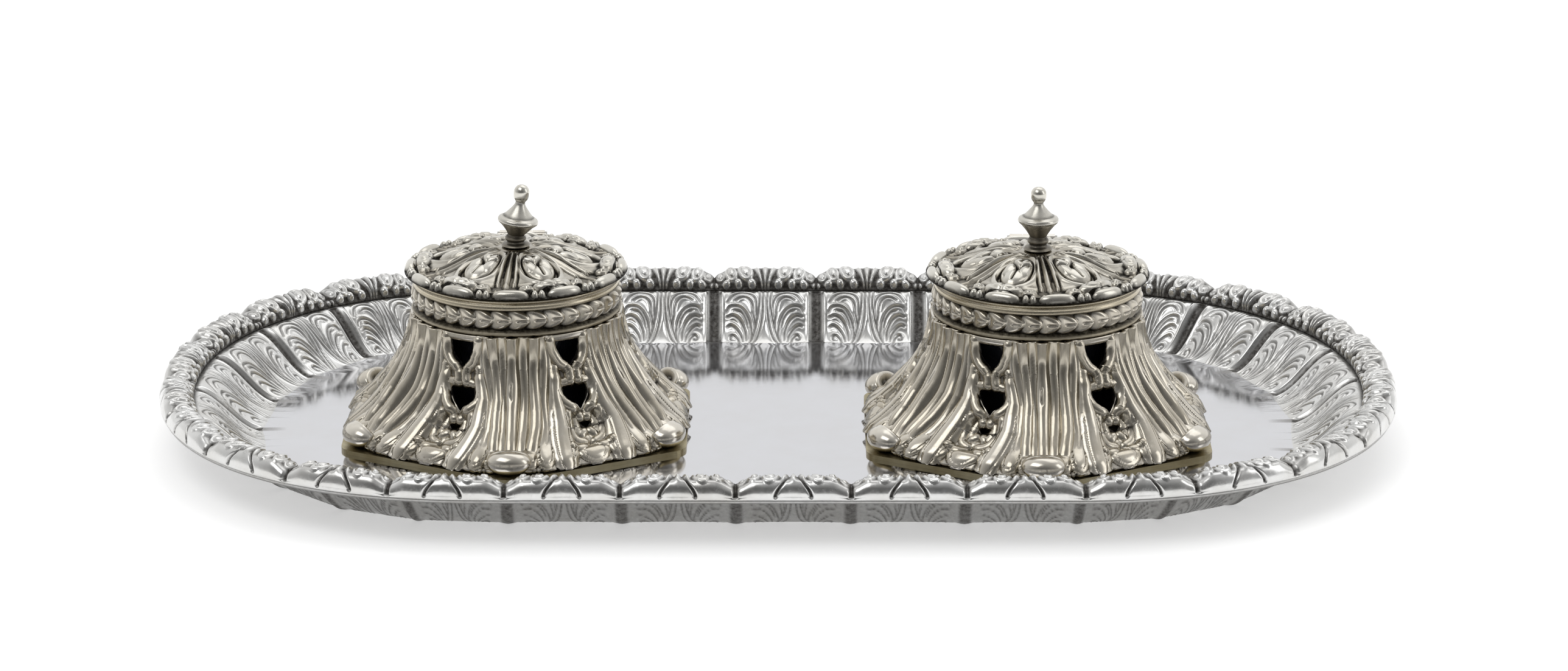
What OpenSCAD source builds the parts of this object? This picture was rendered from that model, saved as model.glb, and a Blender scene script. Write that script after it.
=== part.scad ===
// Desk inkstand: an oval tray with a panelled border, and two pierced inkwells
// with hinged lids that stand loose on it. Millimetres. The origin is the middle
// of the tray's underside, +Z is up and the front of the inkstand faces -Y.

/* [Tray] */
// Length of the tray over its rim
tray_length = 328; // [310:1:350]
// Depth of the tray over its rim, front to back
tray_depth = 191.5; // [186:0.5:200]
// Height of the wall's top edge, which carries the rim
wall_height = 12.5; // [10:0.5:15]
// Thickness of the tray's sheet
sheet = 1; // [0.8:0.1:1.4]
// Width of the applied rim
rim_width = 9.2; // [8:0.2:11]
// Height of the rim's crest above its seat
rim_crest = 5.2; // [3:0.2:6]
// Depth of the channels between the panels
channel_depth = 1.2; // [0.6:0.1:1.6]
// Turn of the pattern along the border, in panels
border_turn = -0.14; // [-0.5:0.01:0.5]

/* [Inkwells] */
// Place of the left inkwell's axis on the tray: along it and towards its back
left_well_at = [-69.5, 2.5];
// Place of the right inkwell's axis on the tray
right_well_at = [68.5, -1];
// Distance of the base plate's corner centres from the well's axis
corner_reach = 45.5; // [44:0.5:47]
// Height of the shell's top edge, where the collar sits
shell_top = 33.1; // [31:0.1:36]
// Outer radius of the shell under the collar
neck_r = 26.8; // [26.4:0.1:27.2]
// Bore of the collar below the ledge that carries the ink pot
collar_bore = 23; // [22.6:0.1:23.4]
// Radius of the collar's plain upper band
band_r = 27.9; // [27.5:0.1:28.4]
// Leaves in the laurel band
laurel_leaves = 36; // [30:1:40]

/* [Lids] */
// Radius over the beads of the lid's edge
lid_r = 29.7; // [29.2:0.1:30]
// Rise of the lid's dome above the collar
dome_rise = 7.3; // [6:0.1:9]
// Gap between the lid's edge and the collar
lid_gap = 0.3; // [0.2:0.1:0.5]
// Long beads round the lid's edge
lid_beads = 12; // [12]
// Turn of the left lid's pattern
left_lid_turn = -4; // [-15:1:15]
// Turn of the right lid's pattern
right_lid_turn = 6; // [-15:1:15]
// Lean of the left finial, which is bent to the right
bent_finial = 8; // [0:1:10]

/* [Hidden] */
$fn = 64;

// Border of the tray: 30 panels, 5 on each straight side and 10 round each end.
end_panels = 10;
straight_panels = 2.5;
panels = 2 * (2 * straight_panels + end_panels);
panel_pitch = 28.8;
straight_half = straight_panels * panel_pitch;
end_squareness = 2.2;
end_evenness = 1.6;
// Way the wall leans out from the floor to the rim, at the ends and at the sides.
wall_run = [17.2, 11.5];

// Plan of the border as [end half width, half depth] of three oval rails.
outer_rail = [tray_length / 2 - straight_half, tray_depth / 2];
wall_rail = [outer_rail[0] - rim_width, outer_rail[1] - rim_width];
floor_rail = wall_rail - wall_run;

// A signed power, which turns a circle into a squarer oval.
function spow(v, k) = sign(v) * pow(abs(v), k);

// Plan point at border coordinate u, in panels from the middle of the back side.
function rail_point(u, rail) =
    let (half = panels / 2,
         v = u - panels * floor(u / panels),
         w = v < half ? v : v - half,
         turn = v < half ? 1 : -1,
         on_straight = w < straight_panels || w > half - straight_panels,
         along = w < straight_panels ? w : w - half,
         turned = 90 - 180 * (w - straight_panels) / end_panels,
         angle = turned - end_evenness * sin(4 * turned))
    on_straight
        ? (w < straight_panels
            ? [turn * along * panel_pitch, turn * rail[1]]
            : [turn * -along * panel_pitch, -turn * rail[1]])
        : [turn * (straight_half + rail[0] * spow(cos(angle), 2 / end_squareness)),
           turn * rail[1] * spow(sin(angle), 2 / end_squareness)];

// A rail between the floor's (0) and the wall's (1), moved out by some millimetres.
function mixed_rail(share, out) =
    [floor_rail[0] + share * (wall_rail[0] - floor_rail[0]) + out,
     floor_rail[1] + share * (wall_rail[1] - floor_rail[1]) + out];

// Faces of a closed strip of rings; each ring has the same number of points.
function ring_faces(rings, points) = [
    for (i = [0 : rings - 1], j = [0 : points - 1])
        let (a = i * points + j,
             b = i * points + (j + 1) % points,
             c = ((i + 1) % rings) * points + (j + 1) % points,
             d = ((i + 1) % rings) * points + j)
        each [[a, b, c], [a, c, d]]
];

// Height of the ogee wall, for a share of the way from the floor to the rim.
function ogee(share) = let (s = min(1, max(0, share))) s * s * (3 - 2 * s);

// Columns of one panel: 0 is the middle of a channel, 0.5 the middle of a panel.
panel_columns = [0, 0.08, 0.35, 0.65, 0.92];
// How far each column lies in the channel, and how far the panel swells there.
channel_share = [1, 0, 0, 0, 0];
panel_swell = [0, 0, 0.5, 0.5, 0];

// One cross section of the dish, from the underside round to the inside.
dish_shares = [0, 0.18, 0.4, 0.62, 0.82, 1];
function dish_section(u, sunk, swell) =
    let (levels = [for (s = dish_shares)
                   let (dip = (swell - sunk * channel_depth) * sin(180 * s))
                   [s, sheet + (wall_height - sheet) * ogee(s) + dip, dip]])
    concat(
        [for (l = levels) concat(rail_point(u, mixed_rail(l[0], -0.4 * l[2])), [l[1]])],
        [concat(rail_point(u, mixed_rail(1, rim_width - 0.6)), [wall_height])],
        [concat(rail_point(u, mixed_rail(1, rim_width - 0.6)), [wall_height - sheet])],
        [for (i = [len(levels) - 1 : -1 : 0])
            let (l = levels[i], drop = i == 0 ? 0 : l[1] - sheet)
            concat(rail_point(u, mixed_rail(l[0], (i == 0 ? 0.8 : 0.5) - 0.4 * l[2])),
                   [drop])]
    );

module tray_dish() {
    columns = [for (k = [0 : panels - 1], c = [0 : len(panel_columns) - 1])
               [k + 0.5 + border_turn + panel_columns[c], channel_share[c], panel_swell[c]]];
    sections = [for (c = columns) dish_section(c[0], c[1], c[2])];
    count = len(sections);
    size = len(sections[0]);
    points = concat([for (s = sections) each s], [[0, 0, sheet], [0, 0, 0]]);
    wall = [for (i = [0 : count - 1], j = [0 : size - 2])
            let (a = i * size + j, b = a + 1,
                 d = ((i + 1) % count) * size + j, c = d + 1)
            each [[a, b, c], [a, c, d]]];
    top = [for (i = [0 : count - 1])
           [count * size, i * size, ((i + 1) % count) * size]];
    under = [for (i = [0 : count - 1])
             [count * size + 1, ((i + 1) % count) * size + size - 1,
              i * size + size - 1]];
    color("gainsboro")
        polyhedron(points, concat(wall, top, under));
}

// Cross section of the cast rim as [share of its width, share of the crest's height].
rim_profile = [
    [0.01, 0], [0, 0.25], [0.1, 0.66], [0.35, 0.92],
    [0.65, 1], [0.9, 0.72], [0.99, 0.2], [0.97, 0]
];

module tray_rim() {
    // Crest height along one panel: low at the channels, high at the fans.
    swell = [0.55, 0.86, 1, 1.04, 1, 0.86];
    steps = len(swell);
    rings = panels * steps;
    points = [for (i = [0 : rings - 1])
              let (u = 0.5 + border_turn + i / steps, tall = swell[i % steps])
              each [for (p = rim_profile)
                    concat(rail_point(u, mixed_rail(1, p[0] * rim_width)),
                           [wall_height + p[1] * rim_crest * tall])]];
    color("silver")
        polyhedron(points, ring_faces(rings, len(rim_profile)));
}

// Levels of an inkwell above the tray's underside.
plate_top = 2 * sheet;
band_bottom = shell_top + 7;
collar_top = shell_top + 9.9;
lid_seat = collar_top + lid_gap;
dome_top = collar_top + dome_rise;
pot_flange = 1.2;
ledge = collar_top - 2.8;

// Plan of the flared foot: a hexagon with its corners to the front and back.
foot_corner_r = 6;
foot_apothem = 43.6;
foot_corner = 47;
function foot_radius(angle) =
    let (off_side = abs(((angle % 60) + 60) % 60 - 30))
    min(foot_corner, foot_apothem / cos(off_side));

// Lanes down a face of the shell, as shares of the way from its middle to its corner;
// towards the foot they crowd to the corner. Each has its own height: a lip beside
// the piercings, a rolled leaf edge, a deep groove and the bundle of corner ribs.
lanes_at_neck = [0, 0.2, 0.42, 0.56, 0.675, 0.8, 1];
lanes_at_foot = [0, 0.3, 0.6, 0.75, 0.815, 0.886, 1];
lane_height = [0.1, 0.1, 0.7, 1.1, -1.3, 0.5, 0.9];

// Relief of a lane against its height: leaf tips at the foot, and between the two
// leaf edges a bowl below the piercings.
tip_level = 3.7;
bowl_level = 9.5;
function lane_relief(i, z) =
    let (foot_fade = min(1, max(0.25, (z - plate_top) / 4)),
         tip = i == 4 ? 0.6 : 1.1,
         tip_share = max(0, 1 - abs(z - tip_level) / 1.7),
         bowl_share = i < 2 ? max(0, 1 - abs(z - bowl_level) / 5) : 0,
         rib = lane_height[i] * foot_fade - 1.7 * bowl_share)
    rib * (1 - tip_share) + tip * tip_share;

// Lean of a face's pattern to the right against the height, in degrees. The face
// left of the front corner was cast with a stronger lean than the others.
lean = [[2, 0], [10.4, 2.7], [16.5, 2], [27, 2.2], [33, 1.5]];
strong_lean = [[2, 0], [10.4, 5.5], [16.5, 7], [27, 2.2], [33, 1.5]];
strong_face = 3;
function face_lean(face, z) = lookup(z, face == strong_face ? strong_lean : lean);

module base_plate() {
    color("darkkhaki")
        translate([0, 0, sheet])
            linear_extrude(plate_top - sheet)
                hull()
                    for (k = [0 : 5])
                        rotate(30 + 60 * k)
                            translate([corner_reach, 0])
                                circle(foot_corner_r, $fn = 32);
}

// The pearl at a corner of the foot: a hollow curl, open towards the well.
pearl = [4.2, 5.8, 3.3];
pearl_reach = 46.8;
pearl_sides = 14;
module pearl() {
    translate([pearl_reach, 0, plate_top + pearl[2] * cos(180 / pearl_sides)])
        difference() {
            hull() scale(pearl) sphere(1, $fn = pearl_sides);
            translate([-2.6, 0, 1.6])
                scale([0.8, 0.72, 0.78]) scale(pearl) sphere(1, $fn = 10);
        }
}

// One piercing, as [height of the flat top, half width there, height of the point].
piercings = [[shell_top - 1.8, 3.75, shell_top - 8.6],
             [shell_top - 13.6, 3.75, shell_top - 18.7],
             [shell_top - 21.6, 1.7, shell_top - 23.4]];
module piercing(p) {
    reach = [20, 60];
    corner_r = 0.25 * p[1];
    point_r = 0.3;
    hull() {
        for (side = [-1, 1]) {
            translate([reach[0], side * (p[1] - corner_r), p[0] - corner_r])
                rotate([0, 90, 0])
                    cylinder(h = reach[1] - reach[0], r = corner_r, $fn = 8);
            translate([reach[0], side * 0.5 * p[1], 0.35 * p[0] + 0.65 * p[2]])
                rotate([0, 90, 0])
                    cylinder(h = reach[1] - reach[0], r = corner_r, $fn = 8);
        }
        translate([reach[0], 0, p[2] + point_r])
            rotate([0, 90, 0])
                cylinder(h = reach[1] - reach[0], r = point_r, $fn = 6);
    }
}

shell_wall = 1.3;
flare = 2.1;
function shell_reach(angle, z) =
    let (share = (z - plate_top) / (shell_top - plate_top))
    neck_r + (foot_radius(angle) - neck_r) * pow(1 - share, flare);

module shell() {
    levels = [plate_top, tip_level, 6.2, bowl_level, 14, 20, 27, shell_top];
    inner_levels = [shell_top, 20, 10, 5, plate_top];
    last = len(lane_height) - 1;
    // The lanes of one face, from its right corner over its middle to its left one.
    spread = [for (i = [-last : last - 1]) i];
    points = [
        for (face = [0 : 5], i = spread)
            let (neck = sign(i) * lanes_at_neck[abs(i)],
                 foot = sign(i) * lanes_at_foot[abs(i)])
            each concat(
                [for (z = levels)
                    let (down = (shell_top - z) / (shell_top - plate_top),
                         share = neck + (foot - neck) * down,
                         a = 30 + 60 * face + 30 * share + face_lean(face, z) * (1 - share * share),
                         r = shell_reach(a, z) + lane_relief(abs(i), z) * (z == shell_top ? 0.6 : 1))
                    [r * cos(a), r * sin(a), z]],
                [for (z = inner_levels)
                    let (a = 30 + 60 * face + 30 * neck,
                         inset = shell_wall + (z == shell_top ? 0.2 : 1.2),
                         r = shell_reach(a, z) - inset)
                    [r * cos(a), r * sin(a), z]])];
    color("lightgray")
        union() {
            difference() {
                polyhedron(points, ring_faces(12 * last, len(levels) + len(inner_levels)));
                for (face = [0 : 5], p = piercings)
                    rotate(30 + 60 * face + face_lean(face, (p[0] + p[2]) / 2)) piercing(p);
            }
            for (k = [0 : 5])
                rotate(60 * k) pearl();
        }
}

// The groove of the collar holds the laurel band; a recess at its back clears
// the strap of the lid's hinge.
groove_r = neck_r - 0.5;
groove_bottom = shell_top + 1.8;
recess_depth = 0.7;
module collar() {
    moulding_r = neck_r + 1;
    recess_half = lid_knuckle_half + 0.3;
    color("silver")
        difference() {
            rotate_extrude()
                polygon([
                    [collar_bore, shell_top], [moulding_r - 0.5, shell_top],
                    [moulding_r, shell_top + 0.6], [moulding_r, shell_top + 1.2],
                    [groove_r, groove_bottom], [groove_r, band_bottom],
                    [band_r - 0.4, band_bottom], [band_r, band_bottom + 0.5],
                    [band_r, collar_top - 0.4], [band_r - 0.4, collar_top],
                    [collar_bore + 1.9, collar_top], [collar_bore + 1.9, ledge],
                    [collar_bore, ledge]
                ]);
            translate([-recess_half, strap_start - 0.3, collar_top - recess_depth])
                cube([2 * recess_half, band_r, 2 * recess_depth]);
        }
}

// The laurel wire round the collar: each leaf swells towards its tip.
module laurel_band() {
    rings = 2 * laurel_leaves;
    leaf_angle = 360 / laurel_leaves;
    leaf_share = 0.78;
    clearance = 0.02;
    back_r = groove_r / cos(leaf_angle * leaf_share / 2) + clearance;
    middle = (groove_bottom + band_bottom) / 2;
    half = (band_bottom - groove_bottom) / 2;
    section = [[0, -1], [0.45, -0.95], [0.9, -0.45], [0.9, 0.45], [0.45, 0.95], [0, 1]];
    points = [for (i = [0 : rings - 1])
              let (tip = i % 2,
                   a = leaf_angle * (floor(i / 2) + leaf_share * tip),
                   swell = tip == 1 ? 1 : 0.7)
              each [for (s = section)
                    let (r = back_r + s[0] * 2.2 * swell)
                    [r * cos(a), r * sin(a), middle + s[1] * half * (0.85 + 0.15 * tip)]]];
    color("silver")
        polyhedron(points, ring_faces(rings, len(section)));
}

// The glass pot hangs in the collar by its flange.
module ink_pot() {
    pot_r = collar_bore - 0.5;
    pot_wall = 2;
    pot_floor = plate_top + 3;
    color("darkslategray")
        rotate_extrude()
            polygon([
                [0, pot_floor], [pot_r - 2, pot_floor], [pot_r, pot_floor + 2],
                [pot_r, ledge], [collar_bore + 1.5, ledge],
                [collar_bore + 1.5, ledge + pot_flange],
                [pot_r - pot_wall, ledge + pot_flange],
                [pot_r - pot_wall, pot_floor + 4], [pot_r - pot_wall - 2, pot_floor + 2.4],
                [0, pot_floor + 2.4]
            ]);
}

// The hinge at the back of the well: two knuckles on the collar, one on the lid.
hinge_y = lid_r + 1.7;
hinge_z = collar_top + 0.9;
knuckle_r = 1.5;
pin_r = 0.6;
pin_clearance = 0.05;
lid_knuckle_half = 2.6;
side_gap = 0.15;
side_knuckle = 3.4;
strap_start = 25.8;

module knuckle(from, to) {
    translate([from, hinge_y, hinge_z])
        rotate([0, 90, 0])
            difference() {
                cylinder(h = to - from, r = knuckle_r);
                translate([0, 0, -1])
                    cylinder(h = to - from + 2, r = pin_r + pin_clearance);
            }
}

module hinge_knuckles() {
    near = lid_knuckle_half + side_gap;
    color("silver")
        for (side = [0, 1])
            mirror([side, 0, 0]) {
                difference() {
                    union() {
                        knuckle(near, near + side_knuckle);
                        translate([near, band_r - 1, collar_top - 1.9])
                            cube([side_knuckle, hinge_y - band_r + 1.6, 1.5]);
                    }
                    cylinder(h = 2 * collar_top, r = band_r, $fn = 128);
                    translate([near - 1, hinge_y, hinge_z])
                        rotate([0, 90, 0])
                            cylinder(h = side_knuckle + 2, r = pin_r + pin_clearance);
                }
            }
}

module hinge_pin() {
    half = lid_knuckle_half + side_gap + side_knuckle;
    head = 0.6;
    color("gray")
        translate([0, hinge_y, hinge_z])
            rotate([0, 90, 0]) {
                translate([0, 0, -half]) cylinder(h = 2 * half, r = pin_r);
                for (end = [-half - head, half])
                    translate([0, 0, end]) cylinder(h = head, r = 1.1);
            }
}

// Rows of the lid from its underside, out round the edge and up to the finial,
// as [radius, height above the seat, share of the edge beads, share of the petals].
stud_hole_r = 1.4;
top_land = 4.2;
function lid_rows() =
    let (rise = dome_top - lid_seat)
    [[stud_hole_r, rise - 1.3, 0, 0], [top_land, rise - 1.3, 0, 0],
     [11, rise - 2.5, 0, 0], [17, rise - 3.7, 0, 0],
     [22.4, rise - 5.5, 0, 0], [collar_bore, 0, 0, 0],
     [lid_r - 1.3, 0, 0.4, 0], [lid_r - 0.5, 1.4, 1, 0], [lid_r - 1.7, 2.7, 1, 0],
     [lid_r - 3.4, 2.2, 0.4, 0.2], [23, 3.4, 0, 0.8], [16, 5.2, 0, 1],
     [9, 6.4, 0, 0.6], [top_land, rise, 0, 0], [stud_hole_r, rise, 0, 0]];

module lid() {
    columns = 72;
    per_bead = columns / lid_beads;
    bead = [-0.7, 0.1, 0.5, 0.5, 0.1, -0.7];
    petals = 6;
    petal_swell = 0.45;
    points = [for (c = [0 : columns - 1])
              let (a = (c - (per_bead - 1) / 2) * 360 / columns,
                   b = bead[c % per_bead],
                   petal = petal_swell * cos(petals * a))
              each [for (row = lid_rows())
                    let (r = row[0] + b * row[2] * 0.8)
                    [r * cos(a), r * sin(a),
                     lid_seat + row[1] + b * row[2] * (row[1] > 0 ? 0.7 : 0) + petal * row[3]]]];
    color("silver")
        polyhedron(points, ring_faces(columns, len(lid_rows())));
}

module lid_bezel() {
    color("silver")
        translate([0, 0, collar_top - 1.2])
            difference() {
                cylinder(h = 1.2 + lid_gap, r = collar_bore + 1.5);
                translate([0, 0, -1]) cylinder(h = 4, r = collar_bore + 0.4);
            }
}

// The lid's knuckle and the strap that holds it under the lid's edge.
module lid_knuckle() {
    strap = 0.7;
    color("silver")
        difference() {
            union() {
                knuckle(-lid_knuckle_half, lid_knuckle_half);
                translate([-lid_knuckle_half, strap_start, lid_seat - strap])
                    cube([2 * lid_knuckle_half, hinge_y - strap_start, strap]);
            }
            translate([-2 * lid_knuckle_half, hinge_y, hinge_z])
                rotate([0, 90, 0])
                    cylinder(h = 4 * lid_knuckle_half, r = pin_r + pin_clearance);
        }
}

// Outline of the turned finial above its foot, as [radius, height].
ball_r = 2.15;
finial_height = 17;
function arc(cx, cz, r, from, to, steps) =
    [for (i = [0 : steps]) let (a = from + (to - from) * i / steps)
     [cx + r * cos(a), cz + r * sin(a)]];

module finial_top() {
    ball_z = finial_height - ball_r;
    rotate_extrude()
        polygon(concat(
            [[0, 2.6], [2.3, 2.6], [2.3, 3.7], [3.4, 5.3], [4.7, 6.9]],
            arc(4.3, 8.1, 1.1, -50, 50, 5),
            [[4, 9.4], [2.7, 10.5], [1.8, 11.6], [1.35, 12.5]],
            arc(0, ball_z, ball_r, -50, 90, 9)));
}

module finial(lean) {
    stud_r = 1.25;
    stud_end = 2.9;
    color("silver")
        translate([0, 0, dome_top]) {
            translate([0, 0, -stud_end]) cylinder(h = stud_end + 1, r = stud_r);
            rotate_extrude()
                polygon([[0, 0], [3.6, 0], [3.6, 0.6], [2.3, 1.4], [2.8, 2.2], [2.8, 2.8], [2.2, 3.4], [0, 3.4]]);
            translate([0, 0, 2.4]) rotate([0, lean, 0]) translate([0, 0, -2.4]) finial_top();
        }
}

module finial_nut() {
    color("darkgray")
        translate([0, 0, dome_top - 1.3 - 1.8])
            difference() {
                cylinder(h = 1.8, r = 3.2, $fn = 6);
                translate([0, 0, -1]) cylinder(h = 4, r = 1.3);
            }
}

// Turn of the shell's ribs and pearls, so that a corner of the foot faces the front.
corner_turn = 30;
module at_left() translate(left_well_at) children();
module at_right() translate(right_well_at) children();

tray_dish();
tray_rim();
at_left() base_plate();  // left_base_plate
at_left() rotate(corner_turn) shell();  // left_shell
at_left() collar();  // left_collar
at_left() laurel_band();  // left_laurel_band
at_left() ink_pot();  // left_ink_pot
at_left() hinge_knuckles();  // left_hinge_knuckles
at_left() hinge_pin();  // left_hinge_pin
at_left() rotate(left_lid_turn) lid();  // left_lid
at_left() lid_bezel();  // left_lid_bezel
at_left() lid_knuckle();  // left_lid_knuckle
at_left() finial(bent_finial);  // left_finial
at_left() finial_nut();  // left_finial_nut
at_right() base_plate();  // right_base_plate
at_right() rotate(corner_turn) shell();  // right_shell
at_right() collar();  // right_collar
at_right() laurel_band();  // right_laurel_band
at_right() ink_pot();  // right_ink_pot
at_right() hinge_knuckles();  // right_hinge_knuckles
at_right() hinge_pin();  // right_hinge_pin
at_right() rotate(right_lid_turn) lid();  // right_lid
at_right() lid_bezel();  // right_lid_bezel
at_right() lid_knuckle();  // right_lid_knuckle
at_right() finial(0);  // right_finial
at_right() finial_nut();  // right_finial_nut
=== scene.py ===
"""Looks of the desk inkstand: an oval tray with an engraved, leaf-edged border and two pierced inkwells."""
import math

import bpy
import numpy as np
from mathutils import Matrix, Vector

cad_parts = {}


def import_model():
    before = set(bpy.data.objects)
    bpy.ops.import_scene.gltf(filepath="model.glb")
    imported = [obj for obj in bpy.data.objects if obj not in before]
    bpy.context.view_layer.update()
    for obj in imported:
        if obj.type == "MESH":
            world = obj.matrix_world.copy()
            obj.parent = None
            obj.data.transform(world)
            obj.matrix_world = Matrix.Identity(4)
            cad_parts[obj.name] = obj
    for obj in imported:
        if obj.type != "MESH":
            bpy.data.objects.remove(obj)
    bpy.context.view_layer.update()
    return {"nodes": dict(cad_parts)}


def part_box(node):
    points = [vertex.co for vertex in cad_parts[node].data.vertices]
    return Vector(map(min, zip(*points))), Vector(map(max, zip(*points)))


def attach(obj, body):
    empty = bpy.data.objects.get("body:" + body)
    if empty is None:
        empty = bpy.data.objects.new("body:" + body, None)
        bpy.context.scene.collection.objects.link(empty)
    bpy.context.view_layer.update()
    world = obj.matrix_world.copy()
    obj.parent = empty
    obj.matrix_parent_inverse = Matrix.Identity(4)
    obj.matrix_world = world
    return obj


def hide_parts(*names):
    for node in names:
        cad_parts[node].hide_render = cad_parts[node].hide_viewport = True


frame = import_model()

MM = 0.001

# Driving dimensions of the tray, in millimetres, read off the frame where a box gives them.
dish_high = np.array(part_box("tray_dish")[1]) / MM
rim_high = np.array(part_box("tray_rim")[1]) / MM
plate_low, plate_high = [np.array(corner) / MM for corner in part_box("right_base_plate")]
collar_low, collar_high = [np.array(corner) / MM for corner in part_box("right_collar")]
PANELS = 30
PITCH = 28.8
STRAIGHT = 2.5
STRAIGHT_HALF = STRAIGHT * PITCH
END_PANELS = 10
SQUARENESS = 2.2
EVENNESS = math.radians(1.6)
BORDER_TURN = -0.14
SHEET = plate_low[2]
WALL_TOP = dish_high[2]
RIM_WIDTH = 9.2
OUTER_RAIL = np.array([rim_high[0] + 0.1 - STRAIGHT_HALF, rim_high[1] + 0.1])
WALL_RAIL = OUTER_RAIL - RIM_WIDTH
FLOOR_RAIL = WALL_RAIL - np.array([17.2, 11.5])

# Levels and radii of an inkwell.
WELL_AT = {side: sum(np.array(corner[:2]) / MM / 2 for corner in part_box(side + "_collar"))
           for side in ("left", "right")}
PLATE_TOP = plate_high[2]
SHELL_TOP = collar_low[2]
COLLAR_TOP = collar_high[2]
NECK_R = 26.8
CORNER_R = 47.3
APOTHEM = 44.5


# Small mathematics shared by the reliefs.

def spow(value, power):
    return np.sign(value) * np.abs(value) ** power


def smooth(value, low=0.0, high=1.0):
    t = np.clip((value - low) / (high - low), 0, 1)
    return t * t * (3 - 2 * t)


def bump(distance, width):
    """A rounded ridge of height 1 that ends at the given half width."""
    return np.where(np.abs(distance) < width, np.cos(np.clip(distance / width, -1, 1) * math.pi / 2) ** 2, 0)


def spline(points, steps=8):
    """A smooth curve through given points."""
    p = np.asarray(points, float)
    ends = np.vstack([2 * p[0] - p[1], p, 2 * p[-1] - p[-2]])
    t = np.linspace(0, 1, steps, endpoint=False)[:, None]
    parts = []
    for a, b, c, d in zip(ends, ends[1:], ends[2:], ends[3:]):
        parts.append(0.5 * (2 * b + (c - a) * t + (2 * a - 5 * b + 4 * c - d) * t ** 2
                            + (3 * b - a - 3 * c + d) * t ** 3))
    return np.vstack(parts + [p[-1:]])


def to_curve(x, y, points):
    """Distance from every (x, y) to a curve, and the share of the way along it."""
    curve = spline(points)
    best = np.full(x.shape, 1e9)
    along = np.zeros(x.shape)
    count = len(curve) - 1
    for i, (a, b) in enumerate(zip(curve, curve[1:])):
        run = b - a
        t = np.clip(((x - a[0]) * run[0] + (y - a[1]) * run[1]) / max(run @ run, 1e-9), 0, 1)
        d = np.hypot(x - a[0] - t * run[0], y - a[1] - t * run[1])
        nearer = d < best
        best = np.where(nearer, d, best)
        along = np.where(nearer, (i + t) / count, along)
    return best, along


def ridge(x, y, points, width, height, taper=(1, 1)):
    """A rounded ridge, or with a negative height a groove, that follows a curve."""
    distance, along = to_curve(x, y, points)
    size = taper[0] + (taper[1] - taper[0]) * along
    return height * size * bump(distance, width * size)


def blurred(field, size, wrap):
    """Box blur twice along both axes; the first axis may wrap round."""
    out = field
    for axis in (0, 1):
        for _ in range(2):
            mode = "wrap" if wrap and axis == 0 else "edge"
            pad = [(size, size) if axis == a else (0, 0) for a in (0, 1)]
            run = np.cumsum(np.pad(out, pad, mode=mode), axis=axis)
            head = np.take(run, range(2 * size, run.shape[axis]), axis=axis)
            tail = np.take(run, range(0, run.shape[axis] - 2 * size), axis=axis)
            out = (head - tail) / (2 * size)
    return out


def hollows(relief, size, wrap=False):
    """How far each point lies below its surroundings, in millimetres."""
    return blurred(relief, size, wrap) - relief


# Meshes.

def mesh_object(name, points, faces, oxide_and_shade=None, warmth=None):
    """A smooth-shaded object in metres from points in millimetres and quads."""
    points = np.asarray(points, np.float32).reshape(-1, 3) * MM
    faces = np.asarray(faces, np.int32).reshape(-1, 4)
    mesh = bpy.data.meshes.new(name)
    mesh.vertices.add(len(points))
    mesh.vertices.foreach_set("co", points.ravel())
    mesh.loops.add(faces.size)
    mesh.loops.foreach_set("vertex_index", faces.ravel())
    mesh.polygons.add(len(faces))
    mesh.polygons.foreach_set("loop_start", np.arange(0, faces.size, 4, dtype=np.int32))
    mesh.update(calc_edges=True)
    for label, values in (("oxide_and_shade", oxide_and_shade), ("warmth", warmth)):
        if values is not None:
            layer = mesh.attributes.new(label, "FLOAT", "POINT")
            layer.data.foreach_set("value", np.clip(np.asarray(values, np.float32).ravel(), 0, 1))
    mesh.validate()
    mesh.shade_smooth()
    obj = bpy.data.objects.new(name, mesh)
    bpy.context.scene.collection.objects.link(obj)
    return obj


def grid_faces(rows, columns, wrap_rows=False, wrap_columns=False):
    """Quads of a grid of points numbered row by row."""
    i = np.arange(rows if wrap_rows else rows - 1)
    j = np.arange(columns if wrap_columns else columns - 1)
    i, j = [g.ravel() for g in np.meshgrid(i, j, indexing="ij")]
    i2, j2 = (i + 1) % rows, (j + 1) % columns
    return np.stack([i * columns + j, i * columns + j2, i2 * columns + j2, i2 * columns + j], axis=1)


# Materials.

def math_node(tree, operation, a, b):
    node = tree.nodes.new("ShaderNodeMath")
    node.operation = operation
    node.use_clamp = True
    for socket, value in zip(node.inputs, (a, b)):
        if isinstance(value, (int, float)):
            socket.default_value = value
        else:
            tree.links.new(value, socket)
    return node.outputs[0]


def mix_colour(tree, factor, a, b):
    node = tree.nodes.new("ShaderNodeMix")
    node.data_type = "RGBA"
    if isinstance(factor, (int, float)):
        node.inputs[0].default_value = factor
    else:
        tree.links.new(factor, node.inputs[0])
    for socket, value in ((node.inputs[6], a), (node.inputs[7], b)):
        if isinstance(value, tuple):
            socket.default_value = (*value, 1)
        else:
            tree.links.new(value, socket)
    return node.outputs[2]


def noise(tree, scale, detail=4, rough=0.6, stretch=(1, 1, 1)):
    place = tree.nodes.new("ShaderNodeTexCoord")
    turn = tree.nodes.new("ShaderNodeMapping")
    turn.inputs["Scale"].default_value = stretch
    node = tree.nodes.new("ShaderNodeTexNoise")
    node.inputs["Scale"].default_value = scale
    node.inputs["Detail"].default_value = detail
    node.inputs["Roughness"].default_value = rough
    tree.links.new(place.outputs["Object"], turn.inputs[0])
    tree.links.new(turn.outputs[0], node.inputs["Vector"])
    return node.outputs["Fac"]


def ramp(tree, factor, low, high, start=0.0, end=1.0):
    node = tree.nodes.new("ShaderNodeMapRange")
    node.clamp = True
    for name, value in (("From Min", low), ("From Max", high), ("To Min", start), ("To Max", end)):
        node.inputs[name].default_value = value
    tree.links.new(factor, node.inputs["Value"])
    return node.outputs[0]


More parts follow.
